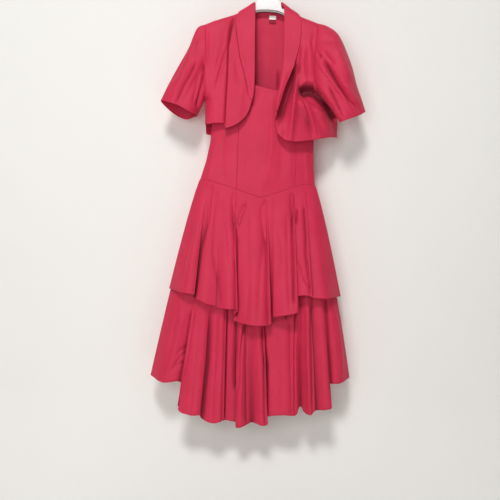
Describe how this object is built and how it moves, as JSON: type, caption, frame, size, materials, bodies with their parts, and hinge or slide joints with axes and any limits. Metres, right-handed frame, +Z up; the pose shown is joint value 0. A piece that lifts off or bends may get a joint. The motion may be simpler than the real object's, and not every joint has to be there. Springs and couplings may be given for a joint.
{
  "type": "flamenco dress with matching short jacket, on a hanger",
  "caption": "Red drop-waist dress with long tiered flounces under a short open shawl-collar jacket with puffed sleeves, hanging on a white moulded hanger with a wire hook.",
  "frame": {"origin": "inner top of the hanger's hook, where a rail or a nail holds it", "axes": "+Z up, the front of the garment faces -Y, +X to a viewer's right"},
  "size_m": [0.6455, 0.1854, 1.4002],
  "materials": {
    "crepe": "smooth crepe with a slight sheen",
    "label_cream": "woven satin",
    "label_red": "woven satin",
    "hanger_plastic": "gloss",
    "hanger_rim": "satin",
    "hook_steel": "polished"
  },
  "bodies": {
    "root": {"dress_front_centre": "crepe", "dress_front_side_left": "crepe", "dress_front_side_right": "crepe", "dress_back": "crepe", "strap_left": "crepe", "strap_right": "crepe", "upper_flounce_front": "crepe", "upper_flounce_back": "crepe", "lower_flounce_front": "crepe", "lower_flounce_back": "crepe", "jacket_front_left": "crepe", "jacket_front_right": "crepe", "jacket_back": "crepe", "collar_left": "crepe", "collar_right": "crepe", "collar_back": "crepe", "sleeve_left": "crepe", "sleeve_right": "crepe", "neck_label": "label_cream", "size_label": "label_red", "hanger_body": "hanger_plastic", "hanger_rim": "hanger_rim", "hanger_hook": "hook_steel"}
  },
  "joints": []
}
